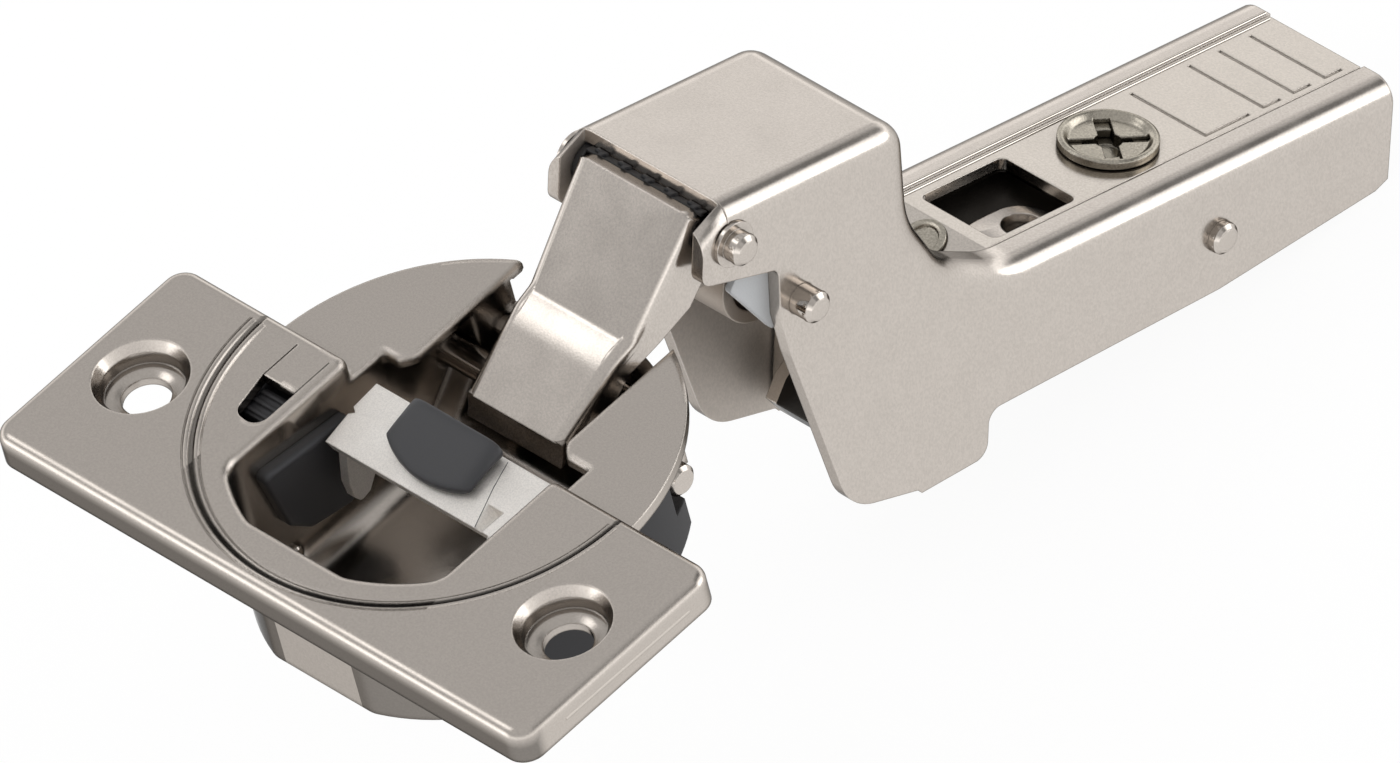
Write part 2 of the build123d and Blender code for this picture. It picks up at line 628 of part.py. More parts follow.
# Clip adapter: the channel that takes the mounting plate
with BuildPart() as clip_adapter:
    with BuildSketch(arm_side):
        with BuildLine():
            Polyline((adapter_end, rail_top), (53.6, rail_top), (adapter_front, -6.0), (48.0, -9.0), (44.0, -12.5),
                     (41.6, -15.0), (40.7, -16.8), (42.5, -18.7), (43.4, -19.2), (49.4, -19.2), (50.8, -17.6),
                     (52.6, -14.4), (76.3, -13.9), (adapter_end - 2.0, -12.4), (adapter_end, -11.0), close=True)
        make_face()
    extrude(amount=slot_half - adapter_gap, both=True)
    with BuildSketch(arm_side):
        with BuildLine():
            Polyline((43.3, -10.4), (43.4, -16.5), (43.6, -18.9), (44.7, -19.7), (46.6, -19.7), (49.4, -19.2),
                     (50.8, -17.6), (52.2, -14.4), (52.2, -9.0), (45.0, -9.0), close=True)
        make_face()
        fillet(vertices().sort_by(Axis.Z)[:3], 0.4)
    extrude(amount=hook_half, both=True)
    for start in (slot_half - adapter_gap, -hook_inner):
        with BuildSketch(arm_side.offset(start)):
            with BuildLine():
                Polyline((40.0, -10.9), (53.0, -10.9), (53.0, -25.0), (40.0, -25.0), close=True)
            make_face()
        extrude(amount=hook_inner - slot_half + adapter_gap, mode=Mode.SUBTRACT)
    with BuildSketch(arm_side):
        with BuildLine():
            Polyline((adapter_end + 1, rail_top - adapter_wall), (53.9, rail_top - adapter_wall),
                     (adapter_front + 1.2, -6.7), (adapter_front + 1.2, -25.0), (adapter_end + 1, -25.0), close=True)
        make_face()
    extrude(amount=slot_half - adapter_gap - adapter_wall, both=True, mode=Mode.SUBTRACT)
    with BuildSketch(arm_side):
        with BuildLine():
            Polyline((adapter_front + 2, -8.4), (48.6, -10.2), (44.4, -13.9), (42.4, -16.4), (43.6, -17.8),
                     (43.6, -25.0), (adapter_front + 2, -25.0), close=True)
        make_face()
    extrude(amount=slot_half - adapter_gap - adapter_wall, both=True, mode=Mode.SUBTRACT)
    with BuildSketch(arm_top.offset(rail_top - 2 * adapter_wall)):
        with Locations((0.35, 59.5)):
            RectangleRounded(8.0, 9.0, 0.7)
        with Locations(depth_at):
            Circle(depth_shank_r + running)
    extrude(amount=4 * adapter_wall, mode=Mode.SUBTRACT)
    # pressed lines on its top, each with a short leg towards the rear
    with BuildSketch(arm_top.offset(rail_top - line_depth)):
        for along, leg in line_marks:
            with Locations((line_mid, along)):
                Rectangle(line_length, line_wide)
            with Locations((line_mid + line_length / 2, along + leg / 2)):
                Rectangle(line_wide, leg + line_wide)
    extrude(amount=1.0, mode=Mode.SUBTRACT)
    with BuildSketch(arm_side):
        with Locations(rivet_3):
            SlotCenterToCenter(2 * depth_travel + 0.4, 2 * (rivet_r + 2 * running))
    extrude(amount=reach, both=True, mode=Mode.SUBTRACT)
    side_plane = Plane(origin=arm_side.from_local_coords((side_at[0], side_at[1], 0)), x_dir=(1, 0, 0),
                       z_dir=Vector(*arm_z) * 0.867 - Vector(*arm_y) * 0.4975)
    with BuildSketch(side_plane.offset(-side_screw_length)):
        Circle(side_screw_r + running)
    extrude(amount=2 * side_screw_length, mode=Mode.SUBTRACT)
clip_adapter.part.label = "clip_adapter"

with BuildPart() as side_screw:
    with BuildSketch(side_plane.offset(-side_screw_length)):
        Circle(side_screw_r)
    extrude(amount=side_screw_length)
    with BuildSketch(side_plane.offset(-0.8)):
        Rectangle(2.2, 0.5)
        Rectangle(0.5, 2.2)
    extrude(amount=1.0, mode=Mode.SUBTRACT)
side_screw.part.label = "side_screw"

# Depth screw: a flat head with a cross recess on a short shank
with BuildPart() as depth_screw:
    with BuildSketch(arm_top.offset(rail_top + running)):
        with Locations(depth_at):
            Circle(depth_head_r)
    extrude(amount=depth_head_rise - running)
    with BuildSketch(arm_top.offset(rail_top - adapter_wall - 1.6)):
        with Locations(depth_at):
            Circle(depth_shank_r)
    extrude(amount=adapter_wall + 1.6 + running)
    top_rim = [e for e in depth_screw.edges()
               if arm_top.to_local_coords(e.center()).Z > rail_top + depth_head_rise - 0.01]
    chamfer(top_rim, 0.15)
    with BuildSketch(arm_top.offset(rail_top + depth_head_rise - depth_dish)):
        with Locations(depth_at):
            Circle(depth_head_r - depth_rim)
    extrude(amount=1.0, mode=Mode.SUBTRACT)
    with BuildSketch(arm_top.offset(rail_top - 0.5)):
        with Locations(depth_at):
            Circle(1.0)
        with Locations(Location(depth_at, -45)):
            Rectangle(1.15, 5.6)
            Rectangle(5.6, 0.62)
    extrude(amount=2.0, mode=Mode.SUBTRACT)
depth_screw.part.label = "depth_screw"

# Clip lever on the rear pin
with BuildPart() as clip_lever:
    with BuildSketch(arm_side):
        with BuildLine():
            Polyline((73.6, -9.2), (74.6, -8.2), (77.5, -8.0), (90.6, -8.6), (91.6, -9.6), (91.6, -11.4), (88.0, -12.2),
                     (79.0, -12.2), (77.4, -13.4), (74.2, -15.0), (72.3, -14.4), (73.2, -12.4), close=True)
        make_face()
        with Locations(rivet_3):
            Circle(lever_eye_r)
            Circle(rivet_r + running, mode=Mode.SUBTRACT)
    extrude(amount=lever_half, both=True)
    with BuildSketch(arm_side):
        with BuildLine():
            Polyline((79.5, -9.6), (95.0, -9.6), (95.0, -16.0), (79.5, -16.0), close=True)
        make_face()
    extrude(amount=lever_half - sheet, both=True, mode=Mode.SUBTRACT)
clip_lever.part.label = "clip_lever"

os.makedirs("parts", exist_ok=True)
for piece in (cup, outer_link_pin_left, outer_link_pin_right, inner_link_pin, rocker_pin, cover_pin, damper_housing,
              switch_housing, soft_close_switch, damper_cover, rocker_bar, rocker_pad, outer_link, inner_link,
              hinge_arm, outer_link_rivet, outer_link_washer_left, outer_link_washer_right, inner_link_rivet,
              lever_pin, arm_guide, clip_adapter, side_screw, depth_screw, clip_lever):
    export_step(piece.part, "parts/" + piece.part.label + ".step")
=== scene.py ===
# %% [markdown]
# A concealed cup hinge, standing open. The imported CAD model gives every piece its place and
# its joints. This script gives the pieces their finishes, adds the fine detail of pressed
# sheet metal, and lights the hinge as a catalogue photograph on white. Lengths are in metres,
# X along the two cup screws, Y from the cup to the arm, Z out of the door.

# %% Load the frame
import json

import bmesh
import bpy
import mathutils
import numpy as np
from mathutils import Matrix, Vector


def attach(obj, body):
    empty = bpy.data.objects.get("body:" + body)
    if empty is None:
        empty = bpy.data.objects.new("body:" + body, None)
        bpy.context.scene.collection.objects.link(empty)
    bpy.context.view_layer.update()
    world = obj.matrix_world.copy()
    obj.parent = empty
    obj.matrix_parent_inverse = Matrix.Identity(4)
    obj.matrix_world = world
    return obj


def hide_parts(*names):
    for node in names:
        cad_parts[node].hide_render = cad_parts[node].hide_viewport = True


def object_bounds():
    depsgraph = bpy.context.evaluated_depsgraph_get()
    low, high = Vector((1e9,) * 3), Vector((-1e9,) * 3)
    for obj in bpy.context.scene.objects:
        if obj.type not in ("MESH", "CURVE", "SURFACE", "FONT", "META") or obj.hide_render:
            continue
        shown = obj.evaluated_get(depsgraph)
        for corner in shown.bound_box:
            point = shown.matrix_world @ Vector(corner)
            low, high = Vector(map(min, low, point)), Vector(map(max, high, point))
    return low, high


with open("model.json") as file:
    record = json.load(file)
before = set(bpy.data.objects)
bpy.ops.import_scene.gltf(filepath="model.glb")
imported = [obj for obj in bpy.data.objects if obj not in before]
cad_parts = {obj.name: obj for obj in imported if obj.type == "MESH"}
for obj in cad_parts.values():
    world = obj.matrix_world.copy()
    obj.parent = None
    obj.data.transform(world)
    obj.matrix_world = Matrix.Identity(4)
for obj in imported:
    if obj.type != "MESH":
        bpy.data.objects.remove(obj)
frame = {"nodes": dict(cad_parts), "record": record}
nodes = frame["nodes"]
cad_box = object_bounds()

# %% Units and the three side views that the hinge is drawn in
MM = 0.001
# in millimetres: the wing's top over the origin, the radius of the groove round the origin, and
# the outer link's pin in the cup, along and above the wing
RISE = 3.0
GROOVE = 18.85
CUP_PIN = (10.0, -7.0)
# the open arm falls away by the first angle, and the outer link stands up by the second
SLOPE = np.radians(19.519)
LINK_TILT = np.radians(34.06)


def on_arm(across, along, height):
    """Turns millimetres across, along and above the arm into metres of the shared frame."""
    across, along, height = np.broadcast_arrays(across, along, height)
    y = along * np.cos(SLOPE) + height * np.sin(SLOPE)
    z = height * np.cos(SLOPE) - along * np.sin(SLOPE) + RISE
    return np.stack([across, y, z], axis=-1) * MM


def on_cup(across, along, height):
    """Turns millimetres across, along and above the cup's wing into metres."""
    return np.stack(np.broadcast_arrays(across, along, height + RISE), axis=-1) * MM


def on_link(across, along, height):
    """Turns millimetres in the outer link's side view, which starts at its cup pin, into metres."""
    y = CUP_PIN[0] + along * np.cos(LINK_TILT) - height * np.sin(LINK_TILT)
    z = CUP_PIN[1] + along * np.sin(LINK_TILT) + height * np.cos(LINK_TILT)
    return on_cup(across, y, z)


# %% [markdown]
# The photograph has no vanishing points: it is a long-lens view in which parallel edges stay
# parallel. A 35 mm lens would splay the wing, so the camera stands nearly three metres away
# with a very long lens. Its axes were fitted to the straight edges of the hinge.

# %% Camera
camera_data = bpy.data.cameras.new("camera")
camera = bpy.data.objects.new("camera", camera_data)
bpy.context.scene.collection.objects.link(camera)
# the picture's right and up and the way back to the camera, and where it stands in metres
right = np.array([0.704825, 0.683675, -0.189291])
up = np.array([-0.404827, 0.60673, 0.684079])
back = np.array([0.582531, -0.405525, 0.704374])
stand = np.array([1.6005535, -1.0902618, 1.9214149])
turned = np.eye(4)
turned[:3] = np.column_stack([right, up, back, stand])
camera.matrix_world = mathutils.Matrix(turned.tolist())
# millimetres on the default sensor, so that the hinge fills the picture as in the photograph
camera_data.lens = 938.84
camera_data.clip_start = 0.1
camera_data.clip_end = 20
bpy.context.scene.camera = camera
bpy.context.scene.view_settings.view_transform = "Standard"
print("camera stands", round(float(np.linalg.norm(stand)), 2), "m away")

# %% [markdown]
# Bare metal shows what is around it, so the surroundings are half of the finish. Lamps alone
# would leave black gaps between their highlights. The sky here is one ramp over height: grey
# overhead, which the level faces mirror, and a bright band near the horizon, which draws the
# light lines along the rolled edges. Three soft boxes and two dark cards are added to it.

# %% Helpers for colours and node graphs


def linear(hexa):
    """Turns an sRGB colour such as "A29B94" into the linear values that the shaders use."""
    c = np.array([int(hexa[i:i + 2], 16) for i in (0, 2, 4)]) / 255
    c = np.where(c <= 0.04045, c / 12.92, ((c + 0.055) / 1.055) ** 2.4)
    return (*[float(v) for v in c], 1.0)


def grey(v):
    """A neutral linear colour."""
    return (v, v, v, 1)


def add(tree, kind, **inputs):
    """Adds one node. Keys that name a socket set it or link to it, and the others set properties."""
    node = tree.nodes.new(kind)
    for key, value in inputs.items():
        numbered = key.startswith("in") and key[2:].isdigit()
        socket = node.inputs[int(key[2:])] if numbered else node.inputs.get(key.replace("_", " "))
        if socket is None:
            setattr(node, key, value)
        elif isinstance(value, bpy.types.NodeSocket):
            tree.links.new(value, socket)
        else:
            socket.default_value = value
    return node


def blank(name):
    """A new material with an empty node tree, and the place on the piece that its patterns follow."""
    made = bpy.data.materials.new(name)
    made.use_nodes = True
    made.node_tree.nodes.clear()
    place = add(made.node_tree, "ShaderNodeTexCoord").outputs["Object"]
    return made, made.node_tree, place


# %% The sky's brightness over height, from straight down to straight up
SKY = [(-1.0, 0.55), (-0.05, 1.0), (0.03, 1.7), (0.20, 1.6), (0.28, 1.12), (0.36, 0.95), (0.45, 0.55),
       (0.53, 0.58), (0.66, 0.64), (1.0, 0.66)]
# each soft box or card: the way to it, the cosines of its soft edge, and what it adds
BOXES = [
    ((-0.577, -0.80, 0.15), 0.94, 0.985, 1.0),
    ((-0.577, -0.16, 0.80), 0.976, 0.996, 1.7),
    ((0.56, 0.77, 0.26), 0.90, 0.97, 1.5),
    ((0.20, 0.77, 0.60), 0.88, 0.96, -0.38),
    ((0.70, 0.41, 0.58), 0.96, 0.985, -0.3),
]

# %% World
world = bpy.data.worlds.new("studio")
bpy.context.scene.world = world
world.use_nodes = True
room = world.node_tree
room.nodes.clear()
direction = add(room, "ShaderNodeTexCoord").outputs["Generated"]
upward = add(room, "ShaderNodeSeparateXYZ", Vector=direction).outputs["Z"]
on_ramp = add(room, "ShaderNodeMath", operation="MULTIPLY_ADD", in0=upward, in1=0.5, in2=0.5).outputs[0]
ramp = add(room, "ShaderNodeValToRGB", Fac=on_ramp)
elements = ramp.color_ramp.elements
while len(elements) < len(SKY):
    elements.new(0.5)
for element, (high_up, brightness) in zip(elements, SKY):
    element.position = high_up / 2 + 0.5
    element.color = grey(brightness)
light = ramp.outputs["Color"]
for way, soft_from, soft_to, strength in BOXES:
    near = add(room, "ShaderNodeVectorMath", operation="DOT_PRODUCT", in0=direction)
    near.inputs[1].default_value = tuple(np.array(way) / np.linalg.norm(way))
    box = add(room, "ShaderNodeMapRange", interpolation_type="SMOOTHSTEP", Value=near.outputs["Value"],
              From_Min=soft_from, From_Max=soft_to, To_Min=0.0, To_Max=strength)
    both = add(room, "ShaderNodeVectorMath", operation="ADD", in0=light)
    room.links.new(box.outputs["Result"], both.inputs[1])
    light = both.outputs[0]
studio = add(room, "ShaderNodeBackground", Color=light, Strength=1.0)
add(room, "ShaderNodeOutputWorld", Surface=studio.outputs[0])
print("sky steps", len(SKY), "boxes", len(BOXES))

# %% [markdown]
# The hinge lies on white paper. Plain white paper under this sky would come out grey, and
# brighter lamps would burn out the metal. So the camera, and what mirrors or lets light
# through, sees the paper mostly as its own white, with a little of its lit surface left in to
# keep the soft shadow under the hinge.

# %% Floor
FLOOR_HALF = 3.0
# half a millimetre under the hinge
FLOOR_Z = cad_box[0].z - 0.0005
# how much of the paper is seen as its own white
OWN_WHITE = 0.86
# millimetres from fibre to fibre, 900 of them to a metre: coarser than real ones, to show at all
FIBRE = 1000 / 900
floor_mesh = bpy.data.meshes.new("floor")
floor_mesh.from_pydata([(-FLOOR_HALF, -FLOOR_HALF, FLOOR_Z), (FLOOR_HALF, -FLOOR_HALF, FLOOR_Z),
                        (FLOOR_HALF, FLOOR_HALF, FLOOR_Z), (-FLOOR_HALF, FLOOR_HALF, FLOOR_Z)], [],
                       [(0, 1, 2, 3)])
floor = bpy.data.objects.new("floor", floor_mesh)
bpy.context.scene.collection.objects.link(floor)
# uncoated paper of bleached pulp, pressed flat: white, with the faint unevenness of its fibres
paper, sheet, on_paper = blank("white_paper")
fibre = add(sheet, "ShaderNodeTexNoise", Vector=on_paper, Scale=1 / (FIBRE * MM))
paper_tone = add(sheet, "ShaderNodeMix", data_type="RGBA", in0=fibre.outputs["Fac"], in6=grey(0.83),
                 in7=grey(0.87))
lit = add(sheet, "ShaderNodeBsdfDiffuse", Color=paper_tone.outputs[2])
own_white = add(sheet, "ShaderNodeEmission", Color=grey(1.0), Strength=1.0)
seen = add(sheet, "ShaderNodeLightPath")
either = add(sheet, "ShaderNodeMath", operation="MAXIMUM", in0=seen.outputs["Is Camera Ray"],
             in1=seen.outputs["Is Glossy Ray"])
any_ray = add(sheet, "ShaderNodeMath", operation="MAXIMUM", in0=either.outputs[0],
              in1=seen.outputs["Is Transmission Ray"])
part = add(sheet, "ShaderNodeMath", operation="MULTIPLY", in0=any_ray.outputs[0], in1=OWN_WHITE)
lifted = add(sheet, "ShaderNodeEmission", Color=grey(1.0), Strength=0.05)
shown = add(sheet, "ShaderNodeMixShader", in0=part.outputs[0], in1=lit.outputs[0], in2=own_white.outputs[0])
whole = add(sheet, "ShaderNodeAddShader", in0=shown.outputs[0], in1=lifted.outputs[0])
add(sheet, "ShaderNodeOutputMaterial", Surface=whole.outputs[0])
floor_mesh.materials.append(paper)
print("floor at", round(FLOOR_Z * 1000, 2), "mm")

# %% [markdown]
# Nickel over pressed steel is a warm grey metal with a fine satin grain. It could be one plain
# metal shader, but then every flat would be as smooth as glass. The real plating is uneven:
# its gloss wanders over millimetres, and it carries a speckle of about 0.2 mm left by the
# tumbling before plating, so both are built from noise. Painted shade darkens the deep corners,
# which an occlusion node finds, and a bevel node rolls the light over each pressed edge.

# %% Metal and plastic finishes
# the roughness of sheet that stayed as it was rolled
AS_ROLLED = 0.62
# in millimetres: the depth of the bump at full strength, the grain of a spark-eroded mould, and
# the width of the patches that the gloss wanders over, 260 of them to a metre
BUMP = 0.02
MOULD_GRAIN = 0.15
GLOSS_PATCH = 1000 / 260


def painted_corner_shade(t, tone, deep, within):
    """Paints shade into a tone in corners, down to the share deep where all is hidden within so many mm."""
    hidden = add(t, "ShaderNodeAmbientOcclusion", samples=6, Distance=within * MM)
    share = add(t, "ShaderNodeMapRange", Value=hidden.outputs["AO"], From_Min=0.1, From_Max=0.75,
                To_Min=deep, To_Max=1.0)
    return add(t, "ShaderNodeVectorMath", operation="SCALE", in0=tone,
               Scale=share.outputs["Result"]).outputs[0]


def metal(name, colour, rough, speckle=0.07, speckle_size=0.17, relief=0.16, edge=0.18, deep=0.4,
          along=1.0, edge_radius=None, tint=None, matt=None):
    """A metal with a speckled tone and relief, patchy gloss, rolled edges and painted shade in corners.

    Speckle_size is the speckle's width and edge the radius that the light rolls over, both in
    millimetres. Along stretches the speckle down the sheet, and deep is the share of the tone
    that painted shade leaves where the surface is fully hidden. The last three are functions of
    the place: edge_radius takes the place of edge, tint paints more shade into the tone, and matt
    marks the faces that stayed as rough as they were rolled."""
    made, t, place = blank(name)
    drawn = add(t, "ShaderNodeMapping", Vector=place, Scale=(1.0, 1.0, 1.0 / along)).outputs[0]
    cloud = add(t, "ShaderNodeTexNoise", Vector=place, Scale=1 / (GLOSS_PATCH * MM), Detail=3.0)
    speck = add(t, "ShaderNodeTexNoise", Vector=drawn, Scale=1 / (speckle_size * MM), Detail=2.0,
                Roughness=0.6)
    spread = add(t, "ShaderNodeMapRange", Value=speck.outputs["Fac"], From_Min=0.36, From_Max=0.64)
    tone = add(t, "ShaderNodeMix", data_type="RGBA", in0=spread.outputs["Result"],
               in6=tuple(v * (1 - speckle) for v in linear(colour)[:3]) + (1,), in7=linear(colour))
    gloss = add(t, "ShaderNodeMapRange", Value=cloud.outputs["Fac"], From_Min=0.3, From_Max=0.7,
                To_Min=rough - 0.05, To_Max=rough + 0.06).outputs["Result"]
    if matt:
        gloss = add(t, "ShaderNodeMix", data_type="FLOAT", in0=matt(t, place), in2=gloss,
                    in3=AS_ROLLED).outputs[0]
    # painted shade in the deep corners, from the occlusion node
    shade = painted_corner_shade(t, tone.outputs[2], deep, 6)
    # where given, more painted shade laid on by place
    if tint:
        shade = tint(t, place, shade)
    rounded_edge = add(t, "ShaderNodeBevel", samples=6, Radius=edge * MM)
    if edge_radius:
        t.links.new(edge_radius(t, place), rounded_edge.inputs["Radius"])
    bumped = add(t, "ShaderNodeBump", Strength=relief, Distance=BUMP * MM, Height=speck.outputs["Fac"],
                 Normal=rounded_edge.outputs[0])
    # seen edge-on the plating goes dark instead of white, which draws the thin dark outlines
    surface = add(t, "ShaderNodeBsdfPrincipled", Metallic=1.0, Roughness=gloss, Normal=bumped.outputs[0],
                  Specular_Tint=grey(0.3))
    t.links.new(shade, surface.inputs["Base Color"])
    add(t, "ShaderNodeOutputMaterial", Surface=surface.outputs[0])
    return made


def plastic(name, colour, rough=0.45, relief=0.15, deep=0.5):
    """A moulded plastic with a spark-eroded texture and painted shade in corners."""
    made, t, place = blank(name)
    grain = add(t, "ShaderNodeTexNoise", Vector=place, Scale=1 / (MOULD_GRAIN * MM), Detail=2.0)
    tone = add(t, "ShaderNodeMix", data_type="RGBA", in0=grain.outputs["Fac"],
               in6=tuple(v * 0.85 for v in linear(colour)[:3]) + (1,), in7=linear(colour))
    # painted shade in the corners, from the occlusion node
    shade = painted_corner_shade(t, tone.outputs[2], deep, 5)
    rounded_edge = add(t, "ShaderNodeBevel", samples=4, Radius=0.3 * MM)
    bumped = add(t, "ShaderNodeBump", Strength=relief, Distance=BUMP * MM, Height=grain.outputs["Fac"],
                 Normal=rounded_edge.outputs[0])
    surface = add(t, "ShaderNodeBsdfPrincipled", Roughness=rough, Normal=bumped.outputs[0])
    t.links.new(shade, surface.inputs["Base Color"])
    add(t, "ShaderNodeOutputMaterial", Surface=surface.outputs[0])
    return made


# %% [markdown]
# The cup is deep-drawn from one sheet, so its outer edges are rolled over a wide radius, while
# its holes are punched nearly sharp. One edge radius for all of it would melt the screw holes.
# So the radius is read from the place: widest over the pocket's mouth, wide along the front and
# the two ends of the wing, and fine round the screw holes. The drawn groove round the pocket is
# darkened with painted shade, and so are the wing's edges low down.

# %% Where the cup's edges are rolled wide, and where shade is painted in its groove and low edges
# in millimetres: half the pocket's mouth, where the rolls of the wing's ends and of its front
# start, and the pocket's radius
MOUTH_HALF = 12.9
END_ROLL = 26.6
FRONT_ROLL = -18.2
POCKET_RADIUS = 16.9


def cup_edges(t, place):
    """The edge radius: 0.8 mm over the mouth's width, 0.5 mm at the wing's front and ends, else 0.25."""
    apart = add(t, "ShaderNodeSeparateXYZ", Vector=place)
    side = add(t, "ShaderNodeMath", operation="ABSOLUTE", in0=apart.outputs["X"])
    mouth = add(t, "ShaderNodeMath", operation="LESS_THAN", in0=side.outputs[0], in1=MOUTH_HALF * MM)
    fine = add(t, "ShaderNodeMapRange", Value=mouth.outputs[0], To_Min=0.25 * MM, To_Max=0.8 * MM)
    at_end = add(t, "ShaderNodeMath", operation="GREATER_THAN", in0=side.outputs[0], in1=END_ROLL * MM)
    at_front = add(t, "ShaderNodeMath", operation="LESS_THAN", in0=apart.outputs["Y"],
                   in1=FRONT_ROLL * MM)
    wide = add(t, "ShaderNodeMath", operation="MAXIMUM", in0=at_end.outputs[0], in1=at_front.outputs[0])
    size = add(t, "ShaderNodeMapRange", Value=wide.outputs[0], To_Min=fine.outputs["Result"],
               To_Max=0.5 * MM)
    return size.outputs["Result"]


def groove_painted_shade(t, apart, ring):
    """The share of the tone left by painted shade in the groove: least on its circle, and only on the
    wing's top.
    """
    off = add(t, "ShaderNodeMath", operation="SUBTRACT", in0=ring.outputs["Value"], in1=GROOVE * MM)
    away = add(t, "ShaderNodeMath", operation="ABSOLUTE", in0=off.outputs[0])
    # the groove is shallower on its left, and so its painted shade is less dark
    darkest = add(t, "ShaderNodeMapRange", Value=apart.outputs["X"], From_Min=-15 * MM, From_Max=-5 * MM,
                  To_Min=0.45, To_Max=0.16)
    keep = add(t, "ShaderNodeMapRange", Value=away.outputs[0], From_Min=0.1 * MM, From_Max=0.26 * MM,
               To_Min=darkest.outputs["Result"], To_Max=1.0)
    below = add(t, "ShaderNodeMath", operation="LESS_THAN", in0=apart.outputs["Z"],
                in1=(RISE - 0.4) * MM)
    return add(t, "ShaderNodeMath", operation="MAXIMUM", in0=keep.outputs["Result"],
               in1=below.outputs[0]).outputs[0]


def low_edge_painted_shade(t, apart, ring):
    """The share of the tone left by painted shade down the wing's edges: less from 0.3 to 1.5 mm under its
    top.

    The pocket, the flange behind the wing and the rear of the wing's two ends are spared."""
    low = add(t, "ShaderNodeMapRange", Value=apart.outputs["Z"], From_Min=(RISE - 1.5) * MM,
              From_Max=(RISE - 0.3) * MM, To_Min=0.42, To_Max=1.0)
    behind = add(t, "ShaderNodeMath", operation="GREATER_THAN", in0=apart.outputs["Y"], in1=-5.0 * MM)
    within = add(t, "ShaderNodeMath", operation="LESS_THAN", in0=ring.outputs["Value"],
                 in1=POCKET_RADIUS * MM)
    inner = add(t, "ShaderNodeMath", operation="MAXIMUM", in0=behind.outputs[0], in1=within.outputs[0])
    side = add(t, "ShaderNodeMath", operation="ABSOLUTE", in0=apart.outputs["X"])
    outer = add(t, "ShaderNodeMath", operation="GREATER_THAN", in0=side.outputs[0], in1=18.0 * MM)
    ends = add(t, "ShaderNodeMapRange", interpolation_type="SMOOTHSTEP", Value=apart.outputs["Y"],
               From_Min=-19.6 * MM, From_Max=-17.6 * MM, To_Max=outer.outputs[0])
    spared = add(t, "ShaderNodeMath", operation="MAXIMUM", in0=inner.outputs[0],
                 in1=ends.outputs["Result"])
    return add(t, "ShaderNodeMath", operation="MAXIMUM", in0=low.outputs["Result"],
               in1=spared.outputs[0]).outputs[0]


def cup_painted_shade(t, place, shade):
    """Paints shade into the groove on the wing's top and down the wing's edges low down."""
    apart = add(t, "ShaderNodeSeparateXYZ", Vector=place)
    flat = add(t, "ShaderNodeCombineXYZ", X=apart.outputs["X"], Y=apart.outputs["Y"])
    ring = add(t, "ShaderNodeVectorMath", operation="LENGTH", in0=flat.outputs[0])
    # painted shade of the groove times that of the wing's low edges
    shade_share = add(t, "ShaderNodeMath", operation="MULTIPLY", in0=groove_painted_shade(t, apart, ring),
               in1=low_edge_painted_shade(t, apart, ring))
    return add(t, "ShaderNodeVectorMath", operation="SCALE", in0=shade, Scale=shade_share.outputs[0]).outputs[0]


# %% [markdown]
# The adapter is a narrow channel, and hardly any light gets into it: occlusion alone leaves it
# too light, so painted shade darkens its inner faces outright. The inner faces of the arm's two walls
# show pale and without a reflection in the photograph. They could have their own solid, but the
# arm is one folded sheet, so a mark by place and facing makes them matt.

# %% Inner faces of the channel and of the arm
# in millimetres: half the channel's inner width, its top sheet's height on the arm's side view,
# and half the arm's inner width
CHANNEL_HALF = 3.75
CHANNEL_TOP = -5.0
ARM_INNER_HALF = 7.3


def adapter_painted_shade(t, place, shade):
    """Paints shade on the channel's inner faces: between its walls and below its top sheet."""
    apart = add(t, "ShaderNodeSeparateXYZ", Vector=place)
    side = add(t, "ShaderNodeMath", operation="ABSOLUTE", in0=apart.outputs["X"])
    between = add(t, "ShaderNodeMath", operation="LESS_THAN", in0=side.outputs[0], in1=CHANNEL_HALF * MM)
    over = add(t, "ShaderNodeVectorMath", operation="DOT_PRODUCT", in0=place)
    over.inputs[1].default_value = (0, float(np.sin(SLOPE)), float(np.cos(SLOPE)))
    under = add(t, "ShaderNodeMath", operation="LESS_THAN", in0=over.outputs["Value"],
                in1=(RISE * np.cos(SLOPE) + CHANNEL_TOP) * MM)
    inside = add(t, "ShaderNodeMath", operation="MULTIPLY", in0=between.outputs[0], in1=under.outputs[0])
    keep = add(t, "ShaderNodeMapRange", Value=inside.outputs[0], To_Min=1.0, To_Max=0.05)
    return add(t, "ShaderNodeVectorMath", operation="SCALE", in0=shade,
               Scale=keep.outputs["Result"]).outputs[0]


def arm_inside(t, place):
    """Marks the inner faces of the arm's two walls: near the middle and facing sideways."""
    facing = add(t, "ShaderNodeSeparateXYZ", Vector=add(t, "ShaderNodeTexCoord").outputs["Normal"])
    apart = add(t, "ShaderNodeSeparateXYZ", Vector=place)
    side = add(t, "ShaderNodeMath", operation="ABSOLUTE", in0=apart.outputs["X"])
    between = add(t, "ShaderNodeMath", operation="LESS_THAN", in0=side.outputs[0],
                  in1=ARM_INNER_HALF * MM)
    turned_in = add(t, "ShaderNodeMath", operation="ABSOLUTE", in0=facing.outputs["X"])
    sideways = add(t, "ShaderNodeMath", operation="GREATER_THAN", in0=turned_in.outputs[0], in1=0.9)
    return add(t, "ShaderNodeMath", operation="MULTIPLY", in0=between.outputs[0],
               in1=sideways.outputs[0]).outputs[0]


